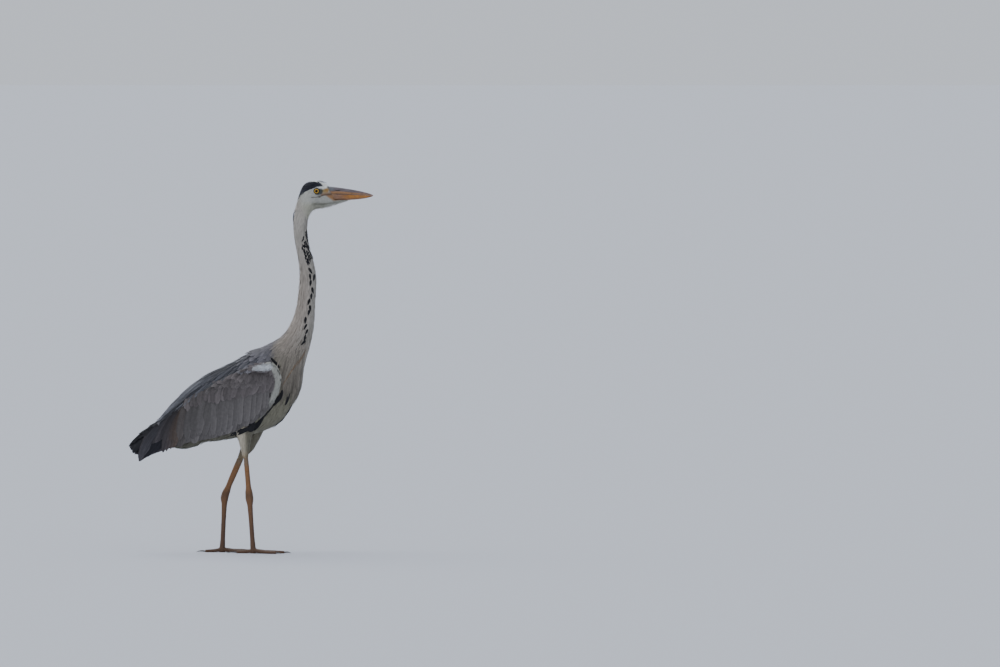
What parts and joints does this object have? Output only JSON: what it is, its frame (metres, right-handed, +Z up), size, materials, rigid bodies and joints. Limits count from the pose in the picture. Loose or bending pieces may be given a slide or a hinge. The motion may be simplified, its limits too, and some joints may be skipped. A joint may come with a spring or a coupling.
{
  "type": "grey heron",
  "caption": "Life-size standing grey heron, neck up and wings folded, one leg forward of the other in a slow step, as a still display model.",
  "frame": {"origin": "on the floor, under the middle of the bounding box", "axes": "+X the way the bird faces, +Y its left side, +Z up"},
  "size_m": [0.6596, 0.17, 1.0049],
  "materials": {
    "head_feathers": "soft small feathers, matt",
    "neck_feathers": "soft feathers, matt",
    "body_feathers": "overlapping feathers, dull",
    "dark_feathers": "stiff quill feathers, dull",
    "bill_horn": "worn horn, half gloss",
    "eye": "wet gloss",
    "leg_skin": "scaled skin, half matt",
    "claw_horn": "dark horn"
  },
  "bodies": {
    "root": {"head": "head_feathers", "bill_upper": "bill_horn", "bill_lower": "bill_horn", "eye_left": "eye", "eye_right": "eye", "neck_upper": "neck_feathers", "neck_middle": "neck_feathers", "neck_lower": "neck_feathers", "trunk": "body_feathers", "tail": "dark_feathers", "wing_left": "body_feathers", "wing_right": "body_feathers", "thigh_left": "neck_feathers", "thigh_right": "neck_feathers", "shin_left": "leg_skin", "shin_right": "leg_skin", "tarsus_left": "leg_skin", "tarsus_right": "leg_skin", "foot_left": "leg_skin", "foot_right": "leg_skin", "claw_left_inner": "claw_horn", "claw_left_middle": "claw_horn", "claw_left_outer": "claw_horn", "claw_left_hind": "claw_horn", "claw_right_inner": "claw_horn", "claw_right_middle": "claw_horn", "claw_right_outer": "claw_horn", "claw_right_hind": "claw_horn"}
  },
  "joints": []
}
